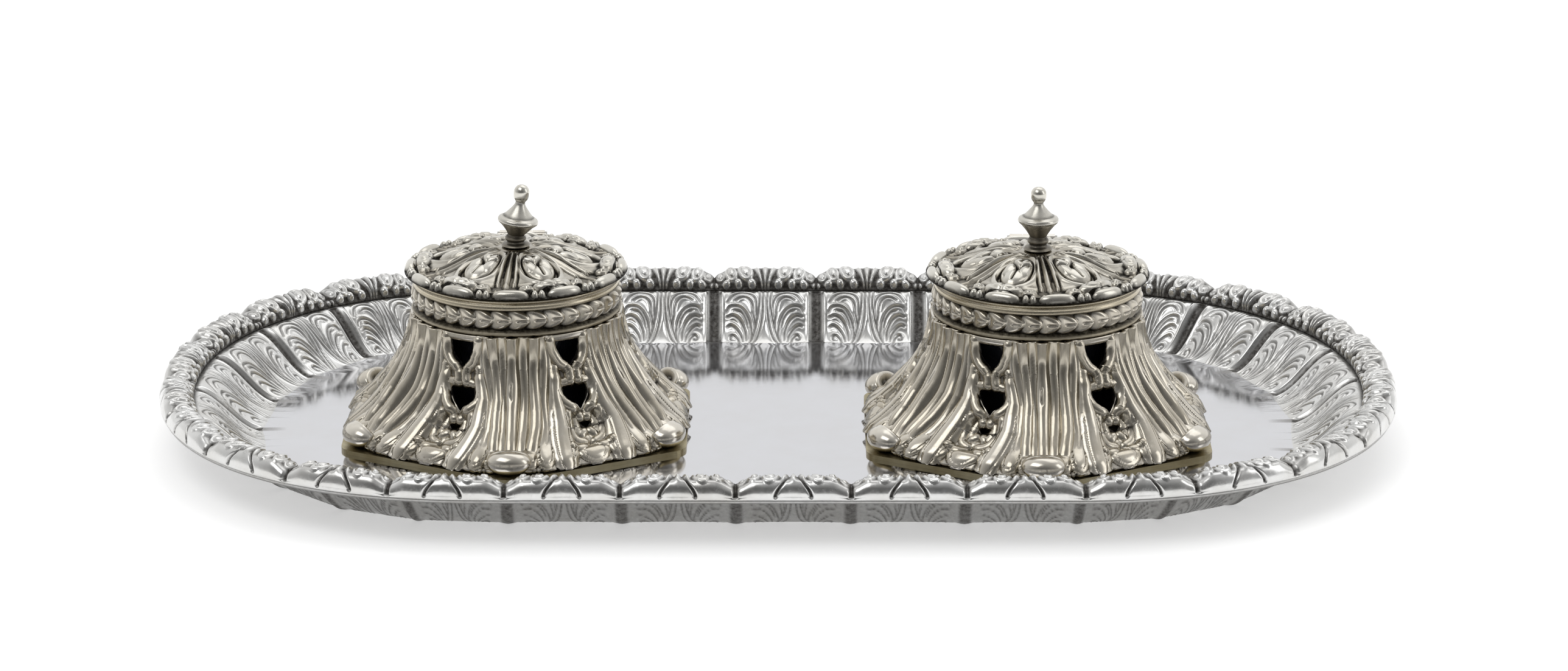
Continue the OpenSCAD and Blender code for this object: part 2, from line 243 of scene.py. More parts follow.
def silver(name, bright, tarnish, dark, gloss, spread, scratch=(1, 1, 1), relief=0.00003):
    """Silver darkened, as its meshes ask, by oxide in its hollows, by painted shade and by painted reflection
    streaks; its worn tops are bright.
    """
    material = bpy.data.materials.new(name)
    material.use_nodes = True
    tree = material.node_tree
    shader = tree.nodes["Principled BSDF"]
    shader.inputs["Metallic"].default_value = 1
    oxide_and_shade = tree.nodes.new("ShaderNodeAttribute")
    oxide_and_shade.attribute_name = "oxide_and_shade"
    warmth = tree.nodes.new("ShaderNodeAttribute")
    warmth.attribute_name = "warmth"
    cloud = noise(tree, 90)
    fine = noise(tree, 900, 3, 0.7, scratch)
    blotch = ramp(tree, cloud, 0.35, 0.7)
    worn = mix_colour(tree, math_node(tree, "MULTIPLY", blotch, spread), bright, tarnish)
    worn = mix_colour(tree, warmth.outputs["Fac"], worn, tarnish)
    rough_edge = math_node(tree, "MULTIPLY", ramp(tree, fine, 0.3, 0.7, 0.85, 1.15), oxide_and_shade.outputs["Fac"])
    tree.links.new(mix_colour(tree, rough_edge, worn, dark), shader.inputs["Base Color"])
    polish = ramp(tree, fine, 0.3, 0.75, gloss[0], gloss[1])
    dull = math_node(tree, "ADD", polish, math_node(tree, "MULTIPLY", oxide_and_shade.outputs["Fac"], 0.35))
    tree.links.new(dull, shader.inputs["Roughness"])
    dent = tree.nodes.new("ShaderNodeBump")
    dent.inputs["Strength"].default_value = 0.5
    dent.inputs["Distance"].default_value = relief
    tree.links.new(fine, dent.inputs["Height"])
    tree.links.new(dent.outputs[0], shader.inputs["Normal"])
    return material


def ink_glass():
    """Thick moulded glass, dark with old ink."""
    material = bpy.data.materials.new("ink_glass")
    material.use_nodes = True
    tree = material.node_tree
    shader = tree.nodes["Principled BSDF"]
    shader.inputs["Coat Weight"].default_value = 0.6
    stain = ramp(tree, noise(tree, 120), 0.4, 0.65)
    tree.links.new(mix_colour(tree, stain, (0.012, 0.013, 0.018), (0.03, 0.032, 0.04)),
                   shader.inputs["Base Color"])
    tree.links.new(ramp(tree, noise(tree, 400), 0.3, 0.7, 0.08, 0.2), shader.inputs["Roughness"])
    return material


def steel():
    """Plain turned metal of the pins and nuts."""
    material = bpy.data.materials.new("turned_steel")
    material.use_nodes = True
    tree = material.node_tree
    shader = tree.nodes["Principled BSDF"]
    shader.inputs["Metallic"].default_value = 1
    marks = noise(tree, 700, 3, 0.6, (6, 1, 1))
    tree.links.new(mix_colour(tree, ramp(tree, marks, 0.3, 0.7), (0.5, 0.49, 0.46), (0.3, 0.29, 0.26)),
                   shader.inputs["Base Color"])
    tree.links.new(ramp(tree, marks, 0.3, 0.7, 0.25, 0.5), shader.inputs["Roughness"])
    return material


TRAY_SILVER = silver("tray_silver", (0.7, 0.7, 0.69), (0.5, 0.48, 0.44), (0.06, 0.055, 0.05),
                     (0.16, 0.3), 0.45, relief=0.00001)
FLOOR_SILVER = silver("floor_silver", (0.63, 0.635, 0.66), (0.58, 0.57, 0.57), (0.3, 0.29, 0.28),
                      (0.06, 0.12), 0.3, scratch=(0.15, 3, 1), relief=0.000006)
WELL_SILVER = silver("well_silver", (0.76, 0.73, 0.67), (0.42, 0.375, 0.29), (0.016, 0.013, 0.009),
                     (0.14, 0.28), 0.5, scratch=(1.3, 1.3, 0.2), relief=0.000003)
LID_SILVER = silver("lid_silver", (0.72, 0.7, 0.64), (0.32, 0.29, 0.235), (0.016, 0.014, 0.011),
                    (0.16, 0.3), 0.4, relief=0.000004)
COLLAR_SILVER = silver("collar_silver", (0.76, 0.7, 0.58), (0.54, 0.48, 0.36), (0.03, 0.026, 0.018),
                       (0.16, 0.3), 0.6, relief=0.000004)
PLATE_SILVER = silver("plate_silver", (0.45, 0.4, 0.26), (0.26, 0.21, 0.11), (0.03, 0.025, 0.015),
                      (0.3, 0.5), 0.8)
GLASS = ink_glass()
STEEL = steel()


def dress(obj, material, body, slot, *nodes):
    """Gives a piece its material and its body, and hides the nodes that it stands for."""
    obj.data.materials.clear()
    obj.data.materials.append(material)
    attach(obj, body)
    if nodes:
        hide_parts(*nodes)
    return obj


def dress_node(name, material):
    """A CAD node whose shape is right gets its material only."""
    obj = frame["nodes"][name]
    obj.data.materials.clear()
    obj.data.materials.append(material)


# The tray's border, as coordinate u in panels from the middle of the back side.

def rail_point(u, half_width, half_depth):
    """Plan point of an oval rail; all three arguments may be arrays."""
    half = PANELS / 2
    v = np.mod(u, PANELS)
    turn = np.where(v < half, 1.0, -1.0)
    w = np.where(v < half, v, v - half)
    turned = math.pi / 2 - math.pi * (w - STRAIGHT) / END_PANELS
    angle = turned - EVENNESS * np.sin(4 * turned)
    x = STRAIGHT_HALF + half_width * spow(np.cos(angle), 2 / SQUARENESS)
    y = half_depth * spow(np.sin(angle), 2 / SQUARENESS)
    back, front = w < STRAIGHT, w > half - STRAIGHT
    x = np.where(back, w * PITCH, np.where(front, (half - w) * PITCH, x))
    y = np.where(back, half_depth, np.where(front, -half_depth, y))
    return turn * x, turn * y


def on_wall(u, share, out):
    """A point between the floor's rail (share 0) and the wall's (share 1)."""
    rail = [FLOOR_RAIL[k] + share * (WALL_RAIL[k] - FLOOR_RAIL[k]) + out for k in (0, 1)]
    return rail_point(u, *rail)


# Engraving of one half panel, as curves from the middle (x 0) to the channel (x 1)
# and from the floor (y 0) to the rim (y 1).
PANEL_LINES = [
    [(0.055, 0.97), (0.05, 0.64), (0.09, 0.38), (0.2, 0.12), (0.31, -0.02)],
    [(0.14, 0.95), (0.13, 0.7), (0.17, 0.48), (0.26, 0.24), (0.37, 0.0)],
    [(0.38, 0.0), (0.32, 0.17), (0.35, 0.36), (0.47, 0.54), (0.65, 0.64), (0.84, 0.64), (0.92, 0.56)],
    [(0.2, 0.46), (0.21, 0.72), (0.34, 0.87), (0.57, 0.92), (0.76, 0.86), (0.9, 0.72)],
    [(0.27, 0.52), (0.32, 0.7), (0.45, 0.8), (0.6, 0.8), (0.72, 0.74)],
    [(0.46, 0.06), (0.48, 0.26), (0.6, 0.42), (0.76, 0.5), (0.9, 0.48)],
    [(0.54, 0.03), (0.58, 0.18), (0.7, 0.3), (0.82, 0.35), (0.9, 0.33)],
    [(0.62, 0.0), (0.66, 0.1), (0.75, 0.18), (0.83, 0.16), (0.82, 0.08), (0.75, 0.07)],
    [(0.24, 0.3), (0.25, 0.42), (0.29, 0.53)],
    [(0.4, 0.3), (0.46, 0.44), (0.58, 0.55), (0.72, 0.58)],
]
PANEL_COLUMNS = 96
PANEL_ROWS = 72
CHANNEL = 0.075


def panel_relief():
    """Relief of one panel over its width (0 to 1, channels at both ends) and its height (0 to 1)."""
    across = np.arange(PANEL_COLUMNS) / PANEL_COLUMNS
    up = np.linspace(0, 1, PANEL_ROWS)
    a, s = np.meshgrid(across, up, indexing="ij")
    off_channel = np.minimum(a, 1 - a)
    from_middle = np.abs(a - 0.5) / (0.5 - CHANNEL - 0.02)
    high = (s - 0.03) / 0.94
    aspect = 1.45
    field = np.clip(1 - from_middle ** 2, 0, 1) * np.clip(np.sin(math.pi * np.clip(s, 0, 1)), 0, 1) ** 0.5
    relief = 0.55 * field
    lines = np.zeros_like(a)
    leaves = np.zeros_like(a)
    for i, line in enumerate(PANEL_LINES):
        scaled = [(x, y * aspect) for x, y in line]
        d, along = to_curve(from_middle, high * aspect, scaled)
        fade = np.clip(np.sin(math.pi * (0.12 + 0.76 * along)) + 0.25, 0, 1)
        lines = np.maximum(lines, fade * np.exp(-(d / 0.022) ** 2))
        leaves = np.maximum(leaves, fade * np.exp(-((d - 0.055) / 0.035) ** 2))
    inside = smooth(off_channel, CHANNEL, CHANNEL + 0.02)
    relief += inside * (0.22 * leaves - 0.34 * lines)
    channel = np.cos(np.clip(off_channel / CHANNEL, 0, 1) * math.pi / 2)
    ends = smooth(s, 0.0, 0.1) * smooth(1 - s, 0.0, 0.06)
    relief -= 1.25 * channel * ends
    relief += 0.3 * bump(off_channel - CHANNEL - 0.012, 0.018) * ends
    oxide_and_shade = np.clip(inside * lines * 0.85 + 0.9 * smooth(channel, 0.1, 0.8), 0, 1)
    # The top of the wall darkens towards the rim: a painted shadow of the rim.
    oxide_and_shade = np.maximum(oxide_and_shade, 0.75 * smooth(s, 0.93, 1.0))
    return relief, oxide_and_shade


# Rings of the floor and of the underside, as shares of the way out to the floor's rail.
FLOOR_RINGS = (0.0005, 0.3, 0.6, 0.85, 0.95)
UNDERSIDE_RINGS = (0.95, 0.6, 0.0005)


def tray_dish():
    """Floor, engraved wall, flange and underside, as one closed sheet."""
    relief, oxide_and_shade = panel_relief()
    count = PANELS * PANEL_COLUMNS
    u = 0.5 + BORDER_TURN + np.arange(count) / PANEL_COLUMNS
    relief, oxide_and_shade = np.tile(relief, (PANELS, 1)), np.tile(oxide_and_shade, (PANELS, 1))
    share = np.linspace(0, 1, PANEL_ROWS)[None, :]
    uu = u[:, None]
    scallop = 1.2 * np.abs(np.cos(math.pi * (uu - 0.5 - BORDER_TURN - 0.5))) ** 0.7
    rings, darkenings = [], []

    def ring(x, y, z, darkening):
        rings.append(np.stack(np.broadcast_arrays(x, y, z), axis=2))
        darkenings.append(np.broadcast_to(darkening, rings[-1].shape[:2]))

    def flat_ring(inward, z, darkening):
        rail = FLOOR_RAIL * inward
        x, y = rail_point(uu, *rail)
        x = x * (STRAIGHT_HALF * inward + rail[0]) / (STRAIGHT_HALF + rail[0])
        ring(x, y, z + 0 * x, darkening)

    for inward in FLOOR_RINGS:
        flat_ring(inward, SHEET, 0.0)
    lean = -0.5 * relief - scallop * smooth(1 - share, 0.6, 1.0)
    x, y = on_wall(uu, share, lean)
    z = SHEET + (WALL_TOP - SHEET) * smooth(share) + relief * np.sin(math.pi * share) ** 0.4
    ring(x, y, z, oxide_and_shade)
    # The flange under the rim, the outside of the wall and the underside get painted shade: fixed darkenings,
    # the outside's with a share of the panel's darkening.
    lip = RIM_WIDTH - 0.9
    x, y = on_wall(uu, 1.0, lip)
    ring(x, y, WALL_TOP + 0 * x, 0.4)
    ring(x, y, WALL_TOP - SHEET + 0 * x, 0.4)
    back_share = np.linspace(1, 0, 24)[None, :]
    groove = relief[:, ::-3] * 0.55
    x, y = on_wall(uu, back_share, 0.9 - 0.5 * groove - 0.6 * scallop * smooth(1 - back_share, 0.6, 1.0))
    z = (WALL_TOP - SHEET) * smooth(back_share) + groove * np.sin(math.pi * back_share)
    ring(x, y, z, 0.45 + 0.4 * oxide_and_shade[:, ::-3])
    for inward in UNDERSIDE_RINGS:
        flat_ring(inward, 0, 0.3)
    points, darkening = np.concatenate(rings, axis=1), np.concatenate(darkenings, axis=1)
    rows = points.shape[1]
    faces = grid_faces(count, rows, True, False)
    obj = mesh_object("tray_dish_dressed", points, faces[:, ::-1], darkening)
    dress(obj, TRAY_SILVER, "tray", "tray_silver", "tray_dish")
    obj.data.materials.append(FLOOR_SILVER)
    column = np.tile(np.arange(rows - 1), count)
    on_floor = (column < len(FLOOR_RINGS)).astype(np.int32)
    obj.data.polygons.foreach_set("material_index", on_floor)
    return obj


# Rim: profile from the inside foot over the crest to the outside foot, as
# (way out in millimetres, share of the crest's height).
RIM_PROFILE = [(0.15, 0.0), (0.0, 0.22), (0.5, 0.52), (1.8, 0.8), (3.6, 0.95), (5.4, 1.0),
               (7.2, 0.93), (8.4, 0.7), (8.95, 0.4), (9.05, 0.12), (8.85, 0.0)]
RIM_COLUMNS = 112
RIM_ROWS = 52
CREST = rim_high[2] - WALL_TOP


def rim_relief():
    """Crest height share and relief of the rim over one panel, channels at both ends."""
    across = np.arange(RIM_COLUMNS) / RIM_COLUMNS
    over = np.linspace(0, 1, RIM_ROWS)
    a, v = np.meshgrid(across, over, indexing="ij")
    x = np.abs(a - 0.5) * PITCH
    edge = PITCH / 2
    swell = 0.6 + 0.36 * smooth(edge - x, 0.0, 5.0) + 0.05 * bump(x, 3.4)
    inside = 1 - smooth(v, 0.52, 0.72)
    outside = smooth(v, 0.55, 0.7)
    relief = np.zeros_like(a)
    darkening = np.zeros_like(a)
    fan_spread = 0.5 + 0.9 * smooth(v, 0.05, 0.6)
    for centre in (0.0, 1.7):
        rib = bump(x - centre * fan_spread, 0.78 * fan_spread)
        relief = np.maximum(relief, 0.8 * rib * inside * smooth(v, 0.0, 0.12))
    for scroll_x, scroll_v, half_x, half_v, tall in ((5.6, 0.44, 2.3, 0.27, 1.1), (9.7, 0.4, 1.9, 0.26, 0.95),
                                                     (12.8, 0.42, 1.5, 0.2, 0.7)):
        away = np.hypot((x - scroll_x - 2.2 * (v - scroll_v)) / half_x, (v - scroll_v) / half_v)
        scroll = np.sqrt(np.clip(1 - away ** 2, 0, 1)) - 0.55 * bump(away - 0.52, 0.2)
        relief = np.maximum(relief, tall * scroll)
    for bead_x, half_x in ((3.7, 1.25), (7.5, 1.1), (11.0, 1.2), (14.1, 0.9)):
        away = np.hypot((x - bead_x) / half_x, (v - 0.13) / 0.115)
        relief = np.maximum(relief, 0.95 * np.sqrt(np.clip(1 - away ** 2, 0, 1)))
    darkening = inside * np.clip(0.95 - relief * 1.9, 0, 1)
    slit_path = 1.9 + 2.6 * smooth(v, 0.55, 0.95)
    slit = np.exp(-((x - slit_path) / 0.34) ** 2) * smooth(v, 0.5, 0.6) * (1 - smooth(v, 0.93, 0.99))
    notch = np.exp(-((edge - x) / 0.55) ** 2) * (1 - smooth(v, 0.94, 0.99))
    relief += outside * (0.35 + 0.25 * bump(x - 7.5, 6.5))
    relief -= 1.0 * slit + 1.1 * notch * (0.35 + 0.65 * outside)
    darkening = np.clip(darkening + 1.2 * slit + 1.1 * notch, 0, 1)
    foot = smooth(v, 0.0, 0.06) * (1 - smooth(v, 0.96, 1.0))
    # The inside foot of the rim is darkened with painted shade: the rim's shadow on the top of the wall.
    return swell, relief * foot, np.maximum(darkening, 0.8 * (1 - smooth(v, 0.0, 0.1)))


def tray_rim():
    """The cast leaf rim soldered on the flange."""
    swell, relief, darkening = rim_relief()
    outline = spline(RIM_PROFILE, 12)
    length = np.concatenate([[0], np.cumsum(np.hypot(*np.diff(outline * [1, CREST], axis=0).T))])
    even = np.linspace(0, length[-1], RIM_ROWS)
    way_out = np.interp(even, length, outline[:, 0])
    high = np.interp(even, length, outline[:, 1])
    slope = np.stack([np.gradient(high * CREST), -np.gradient(way_out)], axis=1)
    slope /= np.linalg.norm(slope, axis=1)[:, None]
    count = PANELS * RIM_COLUMNS
    u = (0.5 + BORDER_TURN + np.arange(count) / RIM_COLUMNS)[:, None]
    swell, relief = np.tile(swell, (PANELS, 1)), np.tile(relief, (PANELS, 1))
    low = np.clip(relief, -1.2, 0.95) - 0.65
    low *= np.clip(high * 6, 0, 1)[None, :]
    out = way_out[None, :] - slope[None, :, 0] * low
    x, y = on_wall(u, 1.0, np.clip(out, 0.05, RIM_WIDTH - 0.1))
    z = WALL_TOP + high[None, :] * CREST * swell - slope[None, :, 1] * low
    z = np.clip(z, WALL_TOP, WALL_TOP + CREST)
    points = np.stack([x, y, z], axis=2)
    faces = grid_faces(count, RIM_ROWS, True, True)
    obj = mesh_object("tray_rim_dressed", points, faces[:, ::-1], np.tile(darkening, (PANELS, 1)))
    return dress(obj, TRAY_SILVER, "tray", "tray_silver", "tray_rim")


tray_dish()
tray_rim()


# An inkwell's shell, in a frame of its own: x is the way round from the middle of a
# face in millimetres, z the height, and every face is mirrored about its middle.
FLARE = 2.1
# Piercings as (flat top, point below, half width at the top).
HOLES = [(31.4, 24.4, 3.9), (19.6, 14.2, 3.9), (11.6, 9.7, 1.8)]
# Lean of a face's pattern to the right, in degrees against the height; the face left
# of the front corner leans more.
LEAN_AT = [2, 10.4, 16.5, 27, 33]
LEAN = [0, 2.7, 2, 2.2, 1.5]
STRONG_LEAN = [0, 5.5, 7, 2.2, 1.5]
STRONG_FACE = 4
HOLE_COLUMNS = 18
SIDE_COLUMNS = 84
ROW_STEP = 0.19
SHELL_WALL = 1.3


def shell_share(z):
    return (z - PLATE_TOP) / (SHELL_TOP - PLATE_TOP)


def face_width(z):
    """Half the length round the shell of one face."""
    return 14.0 + 10.4 * (1 - shell_share(z)) ** FLARE


def fan(share):
    """Power that spreads the ribs' shares of the way to the corner towards the foot."""
    return 1 - 0.5 * (1 - share) ** 2


def hole_edge(z):
    """Half width of the pierced column: the hole's outline, and a swell between holes."""
    edge = np.full(z.shape, 0.03)
    below = PLATE_TOP
    swell = 5.0
    for top, point, half in reversed(HOLES):
        under = (z >= below) & (z < point)
        edge = np.where(under, swell * np.clip((point - z) / (point - below), 0, 1) ** 0.8, edge)
        t = np.clip((top - z) / (top - point), 0, 1)
        edge = np.where((z >= point) & (z <= top), half * (1 - t ** 2.4) ** 0.8, edge)
        below, swell = top, half
    edge = np.where(z > below, swell, edge)
    return np.maximum(edge, 0.03)


# Ribs that run from the neck to the foot, as (share of the way to the corner at the
# neck, half width, height).
RIBS = [(0.4, 0.9, 0.5), (0.5, 1.0, 0.9), (0.635, 1.2, 1.4), (0.8, 0.85, 0.7), (1.0, 1.3, 1.3)]
RIB_FLOOR = 1.3
BUNDLE_FROM = 0.4
# Depth at which every ridge's own relief starts, so that it fills no hollow beside it.
BELOW = 1.4
# Bowl under the piercings: height of its centre, half its height, and half its width as
# a share of the face's.
BOWL_AT = 9.6
BOWL_HALF = 5.0
BOWL_WIDTH = 0.34
# Curves on the faces, as (share of the way to the corner, height).
LEAF = [(0.3, 27.5), (0.335, 21), (0.37, 15), (0.4, 9.5), (0.385, 5.5), (0.37, 3.2)]
UPPER_LIP = [(0.345, 33), (0.34, 30.6), (0.315, 28.2), (0.23, 25.6), (0.085, 23.5), (0.06, 21.8),
             (0.075, 20.6)]
LOWER_LIP = [(0.33, 24.5), (0.345, 20.6), (0.335, 18.4), (0.26, 15.6), (0.1, 13.1), (0.055, 12.0)]
BROW = [(0.07, 20.9), (0.18, 20.4), (0.3, 20.5)]
# Scrolls in the bowl, as (curve, half width, height).
SCROLLS = [
    ([(0.25, 13.0), (0.25, 9.8), (0.19, 7.4), (0.07, 6.5)], 1.0, 1.6),
    ([(0.15, 11.8), (0.155, 9.4), (0.11, 8.1), (0.05, 8.9)], 0.8, 1.4),
    ([(0.02, 7.4), (0.08, 5.7), (0.18, 5.1), (0.28, 5.8)], 0.8, 1.1),
]
# Leaf tips along the foot, as (share of the way to the corner, half width, low end, height,
# height at which they have faded out).
TIPS = [(0.0, 4.6, 2.0, 1.2, 6.4), (0.365, 3.3, 2.1, 1.5, 9.0), (0.61, 2.1, 2.3, 1.3, 12.0),
        (0.79, 1.8, 2.5, 1.2, 9.0)]
NOTCHES = (0.21, 0.5, 0.71)


def over(relief, shape, soft=0.45):
    """The higher of two reliefs, with the crease between them rounded."""
    near = np.clip(1 - np.abs(relief - shape) / soft, 0, 1)
    return np.maximum(relief, shape) + soft / 4 * near ** 2


def bowl_depth(x, z):
    """The hollow below the piercings: 1 at its centre, 0 from its rim on."""
    return np.clip(1 - (x / (BOWL_WIDTH * face_width(z))) ** 2 - ((z - BOWL_AT) / BOWL_HALF) ** 2, 0, 1)


def shell_relief(x, z):
    """Ribs, broad leaves, lips of the piercings, the hollow bowl and the foot's leaf tips."""
    share = shell_share(z)
    width = face_width(z)
    spread = fan(share)
    low_fade = smooth(z, PLATE_TOP + 1.5, PLATE_TOP + 6)

    def in_place(curve):
        return [(part * face_width(level), level) for part, level in curve]

    def along(curve, half, height, taper):
        return ridge(x, z, in_place(curve), 1.1 * half, height + BELOW, taper) - BELOW

    bundle = smooth(x - width * BUNDLE_FROM ** spread, -0.5, 0.5)
    relief = -RIB_FLOOR * bundle * (0.5 + 0.5 * low_fade)
    for start, half, height in RIBS:
        centre = width * start ** spread + 0.22 * np.sin(0.33 * z + 30 * start)
        rib = bump(x - centre, half * (1 + 0.5 * (1 - share) ** 2) + 0.2) ** 0.8
        tall = (height + RIB_FLOOR) * (0.9 + 0.1 * np.sin(0.27 * z + 17 * start)) * (0.55 + 0.45 * low_fade)
        relief = over(relief, rib * tall - RIB_FLOOR)

    distance, way = to_curve(x, z, in_place(LEAF))
    leaf_half = 1.1 + 2.1 * smooth(way, 0.1, 0.8)
    blade = np.sqrt(np.clip(1 - (distance / leaf_half) ** 2, 0, 1))
    groove = 0.28 * bump(distance - 0.45 * leaf_half, 0.35) * smooth(way, 0.35, 0.6)
    relief = over(relief, blade * (1.6 + BELOW) * smooth(way, 0, 0.2) - groove - BELOW)

    shaft = (1 - smooth(np.abs(x), 5.2, 6.4)) * smooth(z, 13, 16)
    relief -= 0.35 * shaft

    relief = over(relief, along(UPPER_LIP, 0.95, 1.2, (0.9, 1.05)))
    relief = over(relief, along(LOWER_LIP, 1.1, 1.6, (0.75, 1.05)))
    relief = over(relief, along(BROW, 0.7, 0.8, (1, 1)))
    relief -= 1.3 * bump(x, 0.42) * (bump(z - 22.4, 2.4) + bump(z - 12.6, 1.6))

    for at, half, low, height, end in TIPS:
        below = np.clip((low + 2.2 - z) / 2.2, 0, 2)
        away = np.hypot((x - at * width) / half, below)
        tongue = np.sqrt(np.clip(1 - away ** 3, 0, 1)) * (1 - smooth(z, 4.0, end))
        rim = 0.5 * bump(away - 0.82, 0.18) * (1 - smooth(z, 4.0, 0.8 * end))
        relief = over(relief, (height - 0.2 + BELOW) * tongue + rim - BELOW)
    notches = sum(bump(x - at * width, 0.6) for at in NOTCHES)
    relief -= 0.9 * notches * (1 - smooth(z, 3.0, 6.5))

    relief -= 1.7 * smooth(bowl_depth(x, z), 0, 0.6)
    hollow = relief - 0.2
    for curve, half, height in SCROLLS:
        relief = over(relief, hollow + ridge(x, z, in_place(curve), half, height, (0.9, 1)))
    top_band = smooth(z, SHELL_TOP - 1.5, SHELL_TOP - 0.6) * (1 - smooth(np.abs(x), 4.6, 5.4))
    return relief + top_band * (0.25 - relief)


def shell_mesh():
    """The pierced shell of one well; both wells share it."""
    levels = sorted([PLATE_TOP, SHELL_TOP] + [v for hole in HOLES for v in hole[:2]])
    rows_between = [np.linspace(a, b, max(2, round((b - a) / ROW_STEP)), endpoint=False)
                    for a, b in zip(levels, levels[1:])]
    z = np.concatenate(rows_between + [[SHELL_TOP]])
    half = HOLE_COLUMNS + SIDE_COLUMNS
    i = np.arange(half + 1)[:, None]
    zz = np.tile(z, (half + 1, 1))
    edge, width = hole_edge(zz), face_width(zz)
    x = np.where(i <= HOLE_COLUMNS, edge * i / HOLE_COLUMNS,
                 edge + (width - edge) * (i - HOLE_COLUMNS) / SIDE_COLUMNS)
    relief = shell_relief(x, zz)
    order = np.abs(np.arange(2 * half) - half)
    sign = np.sign(np.arange(2 * half) - half)[:, None]
    x, relief, zz = sign * x[order], relief[order], zz[order]
    side = x / face_width(zz)
    share = shell_share(zz)
    free = smooth(zz, PLATE_TOP, PLATE_TOP + 1.5) * (1 - smooth(share, 0.96, 1))
    columns, rows = x.shape
    small = hollows(np.tile(relief, (3, 1)), 4)[columns:2 * columns]
    wide = hollows(np.tile(relief, (3, 1)), 12)[columns:2 * columns]
    deep = bowl_depth(x, zz)
    flow = np.clip(np.abs(side), 1e-3, 1) ** (1 / fan(share))
    # Painted reflections: streaks that follow the ribs darken the colour in stripes.
    reflection_streaks = np.sin(88 * flow + 2.2 * np.sin(29 * flow)) * np.sin(0.13 * zz + 17 * flow)
    reflection_streaks = np.clip(reflection_streaks, 0, 1) ** 1.5
    reflection_streaks *= smooth(np.abs(side), 0.3, 0.45)
    darkening = np.clip(0.02 + 1.2 * small + 0.95 * wide + 0.35 * deep + 0.3 * reflection_streaks, 0, 1)
    warm = np.clip(0.5 - 1.2 * small, 0, 1) * 0.65
    points, darkening_values, warms = [], [], []
    for k in range(6):
        lean = np.interp(zz, LEAN_AT, STRONG_LEAN if k == STRONG_FACE else LEAN)
        turn = side * math.pi / 6 + np.radians(lean) * (1 - side ** 2)
        a = turn + k * math.pi / 3
        uneven = relief * (1 + 0.08 * np.sin(3.1 * a + zz / 5))
        foot = np.minimum(CORNER_R, APOTHEM / np.cos(turn))
        reach = NECK_R + (foot - NECK_R) * (1 - share) ** FLARE
        slope = -(foot - NECK_R) * FLARE * (1 - share) ** (FLARE - 1) / (SHELL_TOP - PLATE_TOP)
        steep = np.hypot(1, slope)
        r = reach + uneven / steep - 0.25
        points.append(np.stack([r * np.cos(a), r * np.sin(a), zz - uneven * slope / steep * free], axis=2))
        darkening_values.append(darkening)
        warms.append(warm)
    faces = grid_faces(6 * columns, rows, True, False)
    column = (faces[:, 0] // rows) % columns - half
    row = faces[:, 0] % rows
    middle = (z[row] + z[row + 1]) / 2
    inner = (column >= -HOLE_COLUMNS) & (column < HOLE_COLUMNS)
    pierced = np.zeros(len(faces), bool)
    for top, point, _ in HOLES:
        pierced |= inner & (middle < top) & (middle > point)
    return np.concatenate(points), faces[~pierced], np.concatenate(darkening_values), np.concatenate(warms)


PEARL = (4.2, 5.8, 3.3)
PEARL_REACH = 46.8


def pearl(turn):
    """A curled pearl at a corner of the foot: smooth outside, hollow towards the well."""
    rows, columns = 40, 72
    up = np.linspace(-math.pi / 2, math.pi / 2, rows)[:, None]
    round_it = np.linspace(0, 2 * math.pi, columns, endpoint=False)[None, :]
    d = np.stack(np.broadcast_arrays(np.cos(up) * np.cos(round_it), np.cos(up) * np.sin(round_it),
                                     np.sin(up)), axis=2)
    towards = np.array([-0.86, 0, 0.51])
    inside = smooth(d @ towards, 0.5, 0.82)
    size = 1 - 0.62 * inside + 0.05 * bump(d @ towards - 0.45, 0.16)
    p = d * size[:, :, None] * PEARL
    x, y, z = p[..., 0] + PEARL_REACH, p[..., 1], p[..., 2] + PLATE_TOP + PEARL[2] - 0.05
    c, s = math.cos(turn), math.sin(turn)
    points = np.stack([x * c - y * s, x * s + y * c, np.maximum(z, PLATE_TOP)], axis=2)
    # The hollow side towards the well is darkened with painted shade.
    return points, grid_faces(rows, columns, False, True), 0.9 * inside, 0.2 * np.ones_like(inside)


def merged(parts):
    """Several grids as one list of points, faces, darkenings and warmths."""
    points, faces, darkening_values, warms = [], [], [], []
    start = 0
    for p, f, d, w in parts:
        points.append(p.reshape(-1, 3))
        faces.append(f + start)
        darkening_values.append(np.asarray(d).ravel())
        warms.append(np.asarray(w).ravel())
        start += len(points[-1])
    return np.concatenate(points), np.concatenate(faces), np.concatenate(darkening_values), np.concatenate(warms)


# Collar, laurel band and lid.

GROOVE_R = NECK_R - 0.5
GROOVE_BOTTOM = SHELL_TOP + 1.8
BAND_BOTTOM = SHELL_TOP + 7.0
LAUREL_LEAVES = 36
COLLAR_SEGMENTS = 288
# Recess in the collar's back for the lid's strap.
RECESS_HALF = 2.9
RECESS_FROM = 25.4
RECESS_DEPTH = 0.7
# Outline of the collar as (radius, height above the shell).
COLLAR_PROFILE = [
    (23.0, 0.0), (27.1, 0.0), (27.6, 0.3), (27.8, 0.75), (27.5, 1.15), (27.05, 1.3), (26.95, 1.5),
    (26.4, 1.8), (26.3, 2.0), (26.3, 6.8), (26.6, 7.0), (27.2, 7.05), (27.45, 7.35), (27.2, 7.8),
    (27.05, 8.3), (27.25, 8.9), (27.7, 9.25), (27.9, 9.5), (27.75, 9.85), (27.2, 9.9),
    (24.9, 9.9), (24.9, 7.1), (23.0, 7.1),
]


